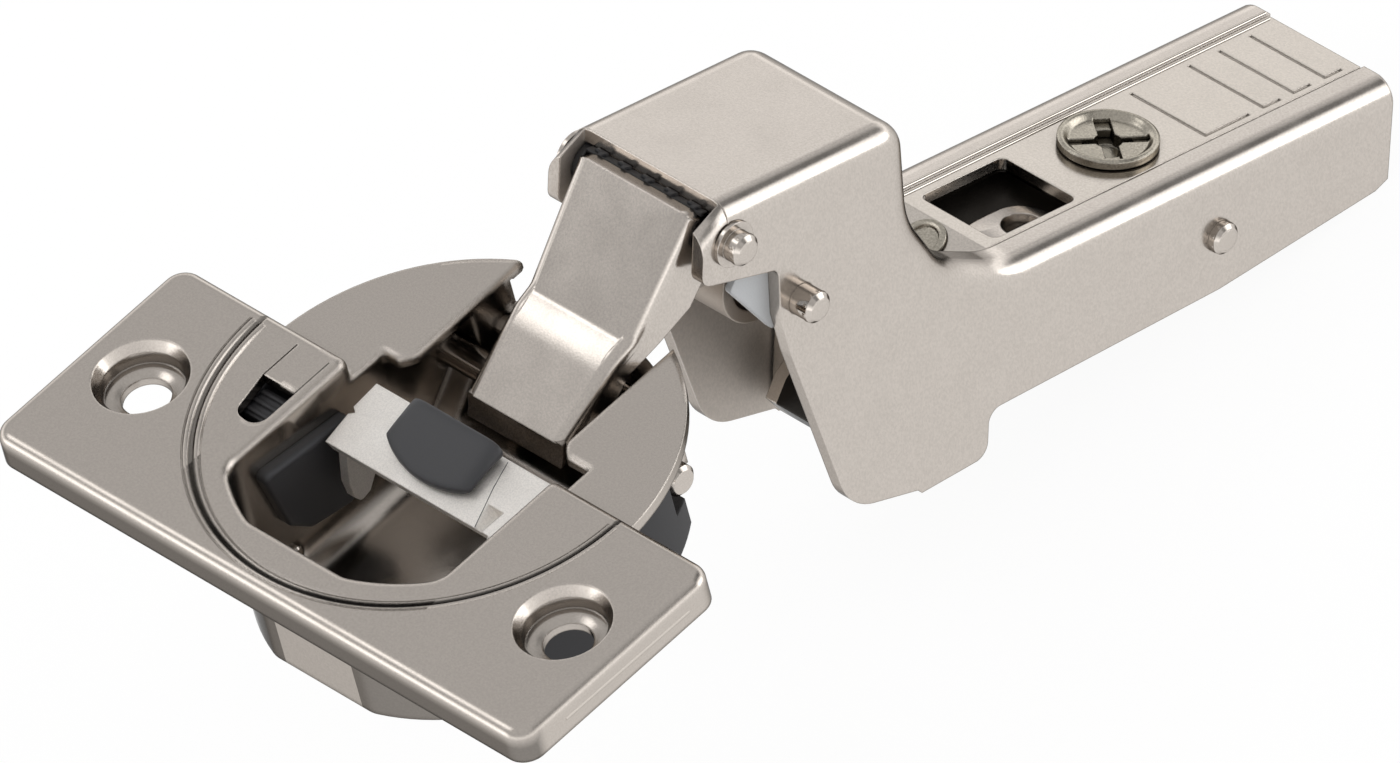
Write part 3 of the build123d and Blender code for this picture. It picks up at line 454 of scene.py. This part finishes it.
# %% The finishes, for the record's material slots and for single pieces
FINISH = {
    # cold-rolled steel, pressed, tumbled and nickel-plated: satin grey, its speckle drawn out
    # along the rolling
    "sheet_metal": metal("nickel_plated_sheet", "D0C8C0", 0.2, speckle=0.1, relief=0.2, deep=0.75,
                         along=1.6),
    # the same plating over a deep-drawn cup: wide soft highlights, and painted shade in the groove, down
    # the wing's low edges and in the pocket
    "cup_metal": metal("nickel_plated_deep_drawn_cup", "C9C1B9", 0.19, relief=0.15, deep=0.45,
                       edge_radius=cup_edges, tint=cup_painted_shade),
    # the same over the folded arm: light even flats, and matt inner faces
    "arm_metal": metal("nickel_plated_arm", "D1C9C1", 0.2, speckle=0.1, relief=0.2, deep=0.95,
                       along=1.6, matt=arm_inside),
    # the same over the folded channel: light outside, and painted shade nearly black inside
    "adapter_metal": metal("nickel_plated_channel", "D6CEC5", 0.2, speckle=0.1, tint=adapter_painted_shade),
    # steel bar, turned and plated: smooth, so pins and rivets catch small sharp lights
    "pin_steel": metal("turned_steel", "CDC5BD", 0.16, relief=0.08, edge=0.1),
    # steel powder, pressed and sintered: pale and matt with a coarse grain, and no reflection
    "sintered_steel": metal("sintered_steel", "FFFBF6", 0.6, speckle=0.12, speckle_size=0.13,
                            relief=0.4, deep=1.0),
    # cold-rolled steel left as it was rolled: dull, so it stays behind the plated pieces
    "bare_steel": metal("rolled_steel", "C2B8AE", 0.42, deep=0.8),
    # the plating over beads thinner than the other edge radii: a fine even line of light
    "bead_metal": metal("nickel_plated_bead", "D6CEC5", 0.2, speckle=0.05, relief=0.08, edge=0.02,
                        deep=0.75),
    # steel screws, cold-headed and zinc-plated: warmer and blotchy, with black painted shade in the
    # recesses
    "screw_zinc": metal("zinc_plated_screw", "BDB6A9", 0.24, speckle=0.25, relief=0.4, deep=0.1),
    # the turned-down lip of the sheet under the same plating: a darker tone, with a coarse grain
    "lip_metal": metal("nickel_plated_lip", "A89F97", 0.35, speckle=0.4, speckle_size=0.14, relief=0.5,
                       deep=0.8),
    # black acetal, moulded: deep black with a soft sheen
    "black_plastic": plastic("black_acetal", "2A2A2C", rough=0.35),
    # glass-filled nylon, moulded: charcoal with a dull sheen
    "dark_plastic": plastic("glass_filled_nylon", "3E3E41"),
    # nylon, moulded with a rough texture: near black and matt, so only its outline shows
    "housing_plastic": plastic("housing_nylon", "1E1D20", rough=0.6),
    # undyed acetal, moulded: milky light grey, with only faint painted shade in its corners
    "grey_plastic": plastic("acetal_moulding", "C4C6C8", rough=0.35, deep=0.7),
}
print("finishes", sorted(FINISH))

# %% [markdown]
# A CAD mesh is made of loose triangles, which would show as facets on every rolled edge.
# Smoothing all of it would smear the flats. So doubled points are merged, edges that bend less
# than 28 degrees are smoothed, and the large flat faces lead the weighted normals.

# %% Rounded shading for the CAD meshes
SHARP_FROM = np.radians(28)
smoothing = bpy.data.node_groups.new("smooth_by_angle", "GeometryNodeTree")
smoothing.interface.new_socket("Geometry", in_out="INPUT", socket_type="NodeSocketGeometry")
smoothing.interface.new_socket("Geometry", in_out="OUTPUT", socket_type="NodeSocketGeometry")
given = add(smoothing, "NodeGroupInput")
merged = add(smoothing, "GeometryNodeMergeByDistance", Geometry=given.outputs[0], Distance=0.002 * MM)
smooth = add(smoothing, "GeometryNodeSetShadeSmooth", Geometry=merged.outputs[0])
bend = add(smoothing, "GeometryNodeInputMeshEdgeAngle")
sharp = add(smoothing, "FunctionNodeCompare", operation="GREATER_THAN", in0=bend.outputs["Unsigned Angle"],
            in1=SHARP_FROM)
hard = add(smoothing, "GeometryNodeSetShadeSmooth", domain="EDGE", Geometry=smooth.outputs[0],
           Selection=sharp.outputs[0])
hard.inputs["Shade Smooth"].default_value = False
add(smoothing, "NodeGroupOutput", in0=hard.outputs[0])


def soften(piece):
    """Smooths the gentle bends of a piece and keeps its sharp edges."""
    piece.modifiers.new("smooth_by_angle", "NODES").node_group = smoothing
    weighted = piece.modifiers.new("flat_faces_lead", "WEIGHTED_NORMAL")
    weighted.mode = "FACE_AREA"
    weighted.weight = 100
    weighted.keep_sharp = True


for node in nodes.values():
    soften(node)
print("smoothed", len(nodes), "nodes")

# %% Finishes on the nodes
slots = {row["node"]: row["material_slot"] for row in frame["record"]["subparts"]}
# pieces that look unlike the others of their slot; the two washers by the outer link are black as painted
# shade for the shadow that falls round them
own_finish = {"cup": "cup_metal", "hinge_arm": "arm_metal", "clip_adapter": "adapter_metal",
              "damper_housing": "housing_plastic", "outer_link_washer_left": "black_plastic",
              "outer_link_washer_right": "black_plastic"}
for name, node in nodes.items():
    node.data.materials.clear()
    node.data.materials.append(FINISH[own_finish.get(name, slots[name])])
print("dressed", len(nodes), "nodes")

# %% [markdown]
# The small parts that a catalogue picture shows and a coarse solid leaves out come next. Each
# could be sculpted by hand, but they are all simple shapes: a profile carried along a line or
# round a ring. So one helper joins a grid of points, ring by ring, into a closed skin, and each
# piece is a formula that gives its grid. Sizes in the formulas are in millimetres.

# %% Helpers that turn rings of points into a closed piece


def skin(name, rings, body, finish):
    """Joins rings of points (rings, around, 3) with quads, closes both ends, and rides on the body."""
    count, around = rings.shape[:2]
    i, j = np.meshgrid(np.arange(count - 1), np.arange(around), indexing="ij")
    k = (j + 1) % around
    quads = np.stack([i * around + j, i * around + k, (i + 1) * around + k, (i + 1) * around + j], axis=-1)
    faces = quads.reshape(-1, 4).tolist()
    faces += [list(range(around))[::-1], list(range((count - 1) * around, count * around))]
    mesh = bpy.data.meshes.new(name)
    mesh.from_pydata(rings.reshape(-1, 3).tolist(), [], faces)
    shell = bmesh.new()
    shell.from_mesh(mesh)
    bmesh.ops.recalc_face_normals(shell, faces=shell.faces)
    shell.to_mesh(mesh)
    shell.free()
    mesh.materials.append(FINISH[finish])
    piece = bpy.data.objects.new(name, mesh)
    bpy.context.scene.collection.objects.link(piece)
    soften(piece)
    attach(piece, body)
    print(name, len(faces), "faces")
    return piece


def full_turn(count):
    """Angles round one full turn, as a row."""
    return np.linspace(0, 2 * np.pi, count, endpoint=False)[None, :]


def step(value, edge, soft=0.05):
    """Rises from 0 to 1 as the value passes the edge, over a width of twice soft."""
    t = np.clip((value - edge + soft) / (2 * soft), 0, 1)
    return t * t * (3 - 2 * t)


# %% [markdown]
# The wing carries a drawn groove round the pocket, with the metal raised a little on both its
# sides. The solid has only the cut. The raised sides are one profile of two low waves, carried
# round the ring and broader towards the left, where the press pushed more metal up.

# %% Groove beads


def groove_beads():
    """Two waves of height 0.2 b exp(-((|u| - 0.8) / 0.3)^2), at the radius GROOVE + u b.

    u runs over the profile from -1.5 to 1.5, and b grows from 0.34 to 0.6 towards the left."""
    turn = np.radians(np.linspace(-179, -1, 241))[:, None]
    broad = 0.34 + 0.26 * np.clip(-np.cos(turn), 0, 1)
    offset = np.linspace(-1.5, 1.5, 31)[None, :]
    wave = 0.11 * np.exp(-(((np.abs(offset) - 0.8) / 0.3) ** 2)) * broad / 0.55 + 0.012
    wave[:, [0, -1]] = 0.0
    radius = GROOVE + offset * broad
    upper = np.stack([radius * np.cos(turn), radius * np.sin(turn), wave], axis=-1)
    lower = upper[:, ::-1] * [1, 1, 0] - [0, 0, 0.02]
    beads = np.concatenate([upper, lower], axis=1)
    return on_cup(beads[..., 0], beads[..., 1], beads[..., 2])


skin("groove_beads", groove_beads(), "cup", "cup_metal")

# %% [markdown]
# A rivet's end is upset by a star punch, which leaves flats round its edge that catch the
# light one by one. A smooth chamfer would show a single soft line. Each crown is a ring of ten
# corners that narrows to the end face.

# %% Rivet crowns
CORNERS = 10
CROWN_WIDE = 1.34
CROWN_NARROW = 0.9


def crown(name, along, height, end):
    """A low cone of ten flats round the X axis: it narrows over the last 0.45 mm before its end."""
    steps = np.array([[end - 0.7, 0.4], [end - 0.7, CROWN_WIDE], [end - 0.45, CROWN_WIDE],
                      [end + 0.02, CROWN_NARROW], [end + 0.03, 0.3]])
    turn = full_turn(CORNERS) + 0.2
    rings = on_arm(steps[:, :1], along + steps[:, 1:] * np.cos(turn), height + steps[:, 1:] * np.sin(turn))
    return skin(name, rings, "arm", "pin_steel")


# each pin's place along and above the arm, and how far its end stands from the middle
crown("outer_link_rivet_crown", 22.06, 10.70, 10.0)
crown("inner_link_rivet_crown", 29.99, 2.62, 10.31)
crown("lever_pin_crown", 75.97, -10.30, 9.15)

# %% [markdown]
# The screw that sets the depth has a dished head with a cross recess: one wide slot for a flat
# blade and a narrow one across it. Boolean cuts would leave ragged shading. Here the head is a
# height over a disc, so the dish and both slots are one formula.

# %% Depth screw
# the screw's place across and along the arm, its rim's height, and how far its slots are turned
SCREW_AT = (0.3, 71.4)
SCREW_TOP = -3.2
SCREW_TURN = np.radians(-35.5)


def screw_head(radius, turn):
    """The head's top over a disc: SCREW_TOP less the dish, less the deepest of two slots and a hub.

    Each slot is 1 inside its half width and half length, measured along axes that are turned by
    SCREW_TURN, and falls to 0 over 0.1 mm at its edges."""
    across = radius * np.cos(turn)
    along = radius * np.sin(turn)
    down = across * np.cos(SCREW_TURN) + along * np.sin(SCREW_TURN)
    over = along * np.cos(SCREW_TURN) - across * np.sin(SCREW_TURN)
    wide_slot = (1 - step(np.abs(over), 0.62)) * (1 - step(np.abs(down), 3.0))
    narrow_slot = (1 - step(np.abs(down), 0.36)) * (1 - step(np.abs(over), 3.15))
    hub = 1 - step(radius, 1.05)
    cut = np.maximum(np.maximum(wide_slot * 1.0, narrow_slot * 0.75), hub * 1.1)
    dish = 0.5 * (1 - step(radius, 3.25, 0.35)) + 0.12 * step(radius, 3.82, 0.1)
    return on_arm(SCREW_AT[0] + across, SCREW_AT[1] + along, SCREW_TOP - dish - cut)


def screw_side(turn):
    """The head's edge, its underside and the neck: (radius, height) pairs turned round the screw."""
    lathe = np.array([[3.95, SCREW_TOP - 0.25], [3.95, -3.9], [3.85, -4.0], [2.0, -4.0], [2.0, -6.8],
                      [0.3, -6.85]])
    return on_arm(SCREW_AT[0] + lathe[:, :1] * np.cos(turn), SCREW_AT[1] + lathe[:, :1] * np.sin(turn),
                  lathe[:, 1:])


top_rings = screw_head(np.linspace(0.02, 3.93, 110)[:, None], full_turn(360))
screw = skin("depth_screw_head", np.concatenate([top_rings, screw_side(full_turn(360))]), "depth_screw",
             "screw_zinc")
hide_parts("depth_screw")

# %% [markdown]
# The outer link is pressed from sheet and its foot turns down into the pocket. The lip is a
# rounded strip of the same sheet, carried straight across the link.

# %% Outer link's turned lip


def link_lip():
    """A bowed strip 0.5 mm thick in the side view, carried across the link and a tenth smaller at its ends.

    Its face is (6.66 - 0.15 s - 0.45 s^2, -5.55 - 2.1 s), with s from 0 to 1 down the lip."""
    s = np.linspace(0, 1, 9)
    face = np.stack([6.66 - 0.15 * s - 0.45 * s ** 2, -5.55 - 2.1 * s], axis=-1)
    loop = np.concatenate([face, face[::-1] + [0.5, 0.05]])
    stations = np.array([-4.95, -4.8, 5.0, 5.15])[:, None]
    share = np.array([0.9, 1.0, 1.0, 0.9])[:, None]
    centre = loop.mean(axis=0)
    return on_cup(stations, centre[0] + (loop[None, :, 0] - centre[0]) * share,
                  centre[1] + (loop[None, :, 1] - centre[1]) * share)


skin("outer_link_lip", link_lip(), "outer_link", "lip_metal")

# %% [markdown]
# A dark toothed insert shows in the gap between the link's top and the arm's head. Its blocks
# step up and down, so its top is a square wave with rounded steps along the gap.

# %% Link end insert
TOOTH = 2.45
INSERT_HALF = 6.1
insert_x = np.linspace(-INSERT_HALF, INSERT_HALF, 200)[:, None]
phase = (insert_x / TOOTH) % 1.0
second_phase = (phase * 2 + 0.3) % 1.0


def insert(name, tall, front_shift, finish):
    """A ledge on the link's top end: its top steps up by tall and its front steps back by the shift.

    The ledge falls by 0.1155 for each millimetre along the arm, as the link's end does."""
    corner = np.array([[20.78, 0.0], [20.78, 1.0], [21.44, 1.0], [21.44, 0.0]])
    ledge = 12.86 - (corner[:, 0] - 19.65) * 0.1155
    along = corner[None, :, 0] + front_shift * (corner[None, :, 0] < 21)
    height = ledge[None, :] - 0.25 * (corner[None, :, 1] < 0.5) + tall * corner[None, :, 1]
    return skin(name, on_arm(insert_x, along, height), "outer_link", finish)


insert("link_end_insert", 0.06, 0.0, "black_plastic")
insert("link_end_blocks", -0.1 + 0.32 * step(np.abs(phase - 0.5), 0.26, 0.012),
       0.3 * step(np.abs(second_phase - 0.5), 0.2, 0.012), "dark_plastic")

# %% [markdown]
# The arm and the outer link are folded from sheet, and the light runs in clean bands along
# their folds. The solids have these folds, but as long thin triangles that smear the bands.
# So a fine skin follows each fold: a quarter circle carried along the rounded side line.

# %% Helpers for the skins along the folds


def rounded(points, sizes, steps=10):
    """A polyline with its corners turned into arcs of the given sizes: tangent points and a fan."""
    line = [np.array(points[0], float)]
    for before, here, after, size in zip(points[:-2], points[1:-1], points[2:], sizes):
        here = np.array(here, float)
        a = (np.array(before) - here) / np.linalg.norm(np.array(before) - here)
        b = (np.array(after) - here) / np.linalg.norm(np.array(after) - here)
        half_angle = np.arccos(np.clip(a @ b, -1, 1)) / 2
        middle = here + (a + b) / np.linalg.norm(a + b) * size / np.sin(half_angle)
        first = here + a * size / np.tan(half_angle) - middle
        last = here + b * size / np.tan(half_angle) - middle
        t = np.linspace(0, 1, steps)[:, None]
        swing = np.pi - 2 * half_angle
        line += list(middle + (np.sin((1 - t) * swing) * first + np.sin(t * swing) * last) / np.sin(swing))
    line.append(np.array(points[-1], float))
    return np.array(line)


def even(line, spacing=0.4):
    """The same line with points at an even spacing."""
    far = np.concatenate([[0], np.cumsum(np.linalg.norm(np.diff(line, axis=0), axis=1))])
    want = np.linspace(0, far[-1], int(far[-1] / spacing) + 2)
    return np.stack([np.interp(want, far, line[:, 0]), np.interp(want, far, line[:, 1])], axis=-1)


def fold(name, line, half_width, size, side, place, body):
    """A thin quarter-round shell along the line, whose outside lies at the half width.

    At the angle a from flat to upright its outside stands at size + 0.055 sin 2a - 0.02 from the
    fold's middle, so it is proud of the sheet in between and sinks in at both ends. Its inside
    stands at size - 0.1."""
    ahead = np.gradient(line, axis=0)
    ahead /= np.linalg.norm(ahead, axis=1)[:, None]
    outward = np.stack([-ahead[:, 1], ahead[:, 0]], axis=-1)
    quarter = np.linspace(0, np.pi / 2, 17)
    sweep = np.concatenate([quarter, quarter[::-1]])[None, :]
    proud = 0.055 * np.sin(2 * quarter) - 0.02
    deep = np.concatenate([size + proud, np.full(17, size - 0.1)])[None, :]
    across = side * (half_width[:, None] - size + deep * np.sin(sweep))
    lift = deep * np.cos(sweep) - size
    along = line[:, :1] + outward[:, :1] * lift
    height = line[:, 1:] + outward[:, 1:] * lift
    return skin(name, place(across, along, height), body, "sheet_metal")


# %% Folds of the arm and of the outer link
ARM_HALF = 8.25
ARM_BEND = 1.9
LINK_BEND = 1.15
# the arm's top in its side view: over the head, down the front of the S and along the rail
arm_line = even(rounded([(21.6, 13.9), (40.6, 13.9), (42.0, 4.6), (46.4, -1.3), (53.0, -4.05),
                         (94.4, -4.05)], [2.6, 9.0, 8.0, 8.0]))
arm_half = np.full(len(arm_line), ARM_HALF)
fold("arm_fold_right", arm_line, arm_half, ARM_BEND, 1, on_arm, "arm")
fold("arm_fold_left", arm_line, arm_half, ARM_BEND, -1, on_arm, "arm")
link_line = even(rounded([(-2.0, 3.08), (3.3, 2.72), (5.6, 2.52), (7.32, 1.9), (17.5, 3.2)],
                         [4.0, 4.0, 0.6], 8), 0.3)
# the link is 10.5 mm wide at its foot and 1.9 mm wider 22.95 mm further up
link_half = 5.25 + 0.95 * (link_line[:, 0] + 3.1) / 22.95
fold("outer_link_fold_right", link_line, link_half, LINK_BEND, 1, on_link, "outer_link")
fold("outer_link_fold_left", link_line, link_half, LINK_BEND, -1, on_link, "outer_link")

# %% [markdown]
# A soft black pad is moulded over the rocker. It is fuller than a cut block: its front edge
# bows out over the bar and all its edges are round. Its section is a loop in the side view,
# carried across the bar, and it bulges towards the middle and shrinks at the two ends.

# %% Rocker pad
# the pad's middle and half its width across the cup, and its back along it
PAD_MIDDLE = 0.5
PAD_HALF = 4.75
PAD_BACK = 1.45


def pad_skin():
    """Loops sign(c) |c|^0.32, sign(s) |s|^0.32 of a cosine c and a sine s, carried across the pad.

    The front bows by 1.25 (1 - x^2) with x from -1 to 1 across the pad, the top falls by 0.34
    and the underside by 0.19 for each millimetre towards the front, and the height shrinks by
    (1 - |x|^9)^0.5 at the ends."""
    x = np.sin(np.linspace(-np.pi / 2, np.pi / 2, 49))[:, None]
    turn = full_turn(64)
    power = 0.32
    round_y = np.sign(np.cos(turn)) * np.abs(np.cos(turn)) ** power
    round_z = np.sign(np.sin(turn)) * np.abs(np.sin(turn)) ** power
    ends_in = np.clip(1 - np.abs(x) ** 9, 0.02, 1) ** 0.5
    front_y = -2.35 - 1.25 * (1 - x ** 2) - 0.3 * x
    y_mid = (PAD_BACK + front_y) / 2
    y_half = (PAD_BACK - front_y) / 2
    z_top = -0.6 + 0.34 * np.minimum(round_y * y_half + y_mid - 1.4, 0)
    z_low = -2.5 + 0.19 * np.minimum(round_y * y_half + y_mid + 1.0, 0)
    y = y_mid + round_y * y_half * (0.9 + 0.1 * ends_in)
    z = (z_top + z_low) / 2 + round_z * (z_top - z_low) / 2 * ends_in
    return on_cup(PAD_MIDDLE + PAD_HALF * x, y, z)


pad = skin("rocker_pad_skin", pad_skin(), "rocker", "dark_plastic")
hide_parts("rocker_pad")

# %% [markdown]
# A fine line crosses the bar where its two halves were pressed together. It is only a
# shadow's width, so it is a flat dark strip just above the bar.

# %% Rocker seam


def seam_strip():
    """A strip 0.06 mm wide and 0.025 mm thick over three points of the bar's top and front."""
    over = np.array([[5.5, 1.3, -2.44], [6.2, -1.0, -2.66], [7.2, -4.35, -3.49]])
    section = np.array([[-0.03, 0.0], [0.03, 0.0], [0.03, 0.025], [-0.03, 0.025]])
    return on_cup(over[:, :1] + section[None, :, 0], over[:, 1:2], over[:, 2:] + section[None, :, 1])


skin("rocker_seam", seam_strip(), "rocker", "black_plastic")

# %% [markdown]
# Through the window in the adapter one sees the round end of the spring plate that grips the
# mounting plate. It is a tongue: a half disc on a straight strip, with a round hole.

# %% Spring tongue in the window
# the middle of its half disc across and along the arm, and the half disc's radius
TONGUE_AT = (1.5, 61.2)
TONGUE_HALF = 2.75


def tongue_rings():
    """Rings from the hole's underside over its edge to the outline and back underneath.

    The outline is a circle on the far side and |x|^6 + |y|^6 = r^6 on the near one, stretched
    1.6 times into a strip. Each ring is a share of the radius and a height."""
    turn = full_turn(96)
    square = np.abs(np.cos(turn)) ** 6 + np.abs(np.sin(turn)) ** 6
    rim = np.where(np.sin(turn) > 0, TONGUE_HALF, TONGUE_HALF * square ** (-1 / 6))
    share = np.array([[0.55, -7.3], [0.62, -6.62], [0.95, -6.5], [1.0, -6.6], [1.0, -7.0], [0.6, -7.3]])
    round_hole = np.array([1, 1, 0, 0, 0, 1])[:, None]
    size = np.where(round_hole, TONGUE_HALF * share[:, :1], share[:, :1] * rim)
    stretch = np.where((np.sin(turn) < 0) & (round_hole == 0), 1.6, 1.0)
    return on_arm(TONGUE_AT[0] + size * np.cos(turn), TONGUE_AT[1] + size * np.sin(turn) * stretch,
                  share[:, 1:])


skin("window_tongue", tongue_rings(), "adapter", "sheet_metal")

# %% [markdown]
# Three thin ridges stand on the sheet: two along the left edge of the adapter, where its sheet
# meets the arm's, and one pressed into the end of the wing. A cylinder sunk into the sheet would
# stand as proud as it is wide, so each is half of a flat ellipse, carried along a line.

# %% Beads


def bead(name, start, end, place, wide, tall, ways, body):
    """A half ellipse, wide and tall along its two ways, carried straight from start to end."""
    arc = np.linspace(0, np.pi, 9)[None, :, None]
    out = np.array(ways[0]) * np.cos(arc) * wide / 2
    lift = np.array(ways[1]) * np.sin(arc) * tall
    points = np.array([start, end])[:, None, :] + lift + out
    return skin(name, place(points[..., 0], points[..., 1], points[..., 2]), body, "bead_metal")


ACROSS = (1, 0, 0)
UPRIGHT = (0, 0, 1)
bead("adapter_edge_bead_outer", (-5.38, 48.6, -4.06), (-5.38, 94.3, -4.06), on_arm, 0.36, 0.15,
     (ACROSS, UPRIGHT), "arm")
bead("adapter_edge_bead_inner", (-4.6, 54.2, -4.06), (-4.6, 93.9, -4.06), on_arm, 0.36, 0.15,
     (ACROSS, UPRIGHT), "adapter")
bead("wing_end_bead", (28.38, -15.6, -1.62), (28.38, -2.3, -1.82), on_cup, 0.3, 0.05,
     (UPRIGHT, ACROSS), "cup")

# %% [markdown]
# The side screw ends in a flanged ring round its slot. It is a lathe profile: a flat face, a
# raised rim and a collar.

# %% Side screw ring
# the ring's middle along and above the arm
SIDE_AT = (51.85, -4.95)
# the screw's axis and the way square to it, along and above the arm
AXIS = (-0.4975, 0.867)
SQUARE = (0.867, 0.4975)


def screw_ring():
    """A profile of (radius, height) pairs turned round the side screw's axis."""
    lathe = np.array([[0.9, 0.02], [1.2, 0.02], [1.3, 0.22], [1.55, 0.28], [1.85, 0.2], [1.9, 0.02],
                      [1.6, -0.3], [0.95, -0.3]])
    turn = full_turn(64)
    out = lathe[:, :1] * np.sin(turn)
    along = SIDE_AT[0] + SQUARE[0] * out + AXIS[0] * lathe[:, 1:]
    height = SIDE_AT[1] + SQUARE[1] * out + AXIS[1] * lathe[:, 1:]
    return on_arm(lathe[:, :1] * np.cos(turn), along, height)


skin("side_screw_rim", screw_ring(), "side_screw", "screw_zinc")
